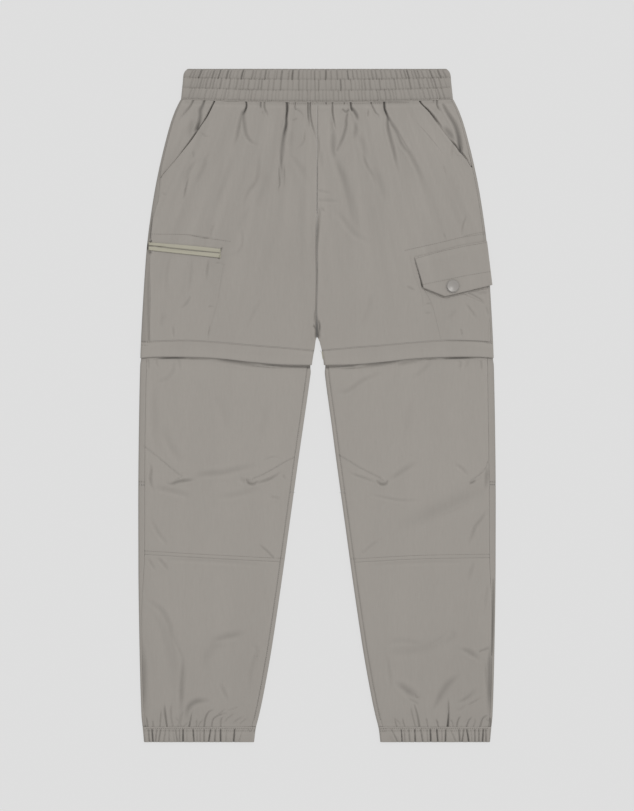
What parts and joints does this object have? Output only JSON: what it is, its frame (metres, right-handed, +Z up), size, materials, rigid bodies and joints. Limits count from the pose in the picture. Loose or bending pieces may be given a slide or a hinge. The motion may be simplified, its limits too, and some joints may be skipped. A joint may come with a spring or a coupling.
{
  "type": "convertible zip-off trousers",
  "caption": "Child's convertible zip-off trousers laid flat, with an elastic waist, slant hip pockets, thigh pockets, covered zip-off zips and elastic cuffs.",
  "frame": {"origin": "centre of the bounding box on the table that the trousers lie on", "axes": "+X across the garment towards the wearer's left leg, +Y along the legs towards the waist, +Z up from the table, out of the garment's front"},
  "size_m": [0.3932, 0.74, 0.0117],
  "materials": {
    "cloth": "light crinkled plain-weave nylon, warm grey, faint sheen",
    "zip_tape": "woven zip tape, pale sand, matt",
    "snap": "painted cap of a press stud, same tone as the cloth, satin"
  },
  "bodies": {
    "root": {"waistband": "cloth", "rightFrontUpper": "cloth", "rightPocketFacing": "cloth", "rightBackUpper": "cloth", "rightCoverBand": "cloth", "rightZipRing": "zip_tape", "rightKneeFront": "cloth", "rightShinFront": "cloth", "rightKneeBack": "cloth", "rightCalfBack": "cloth", "rightCuff": "cloth", "leftFrontUpper": "cloth", "leftPocketFacing": "cloth", "leftBackUpper": "cloth", "leftCoverBand": "cloth", "leftZipRing": "zip_tape", "leftKneeFront": "cloth", "leftShinFront": "cloth", "leftKneeBack": "cloth", "leftCalfBack": "cloth", "leftCuff": "cloth", "zipTapeUpper": "zip_tape", "zipTapeLower": "zip_tape", "cargoPocket": "cloth", "cargoFlap": "cloth", "snapCap": "snap"}
  },
  "joints": []
}
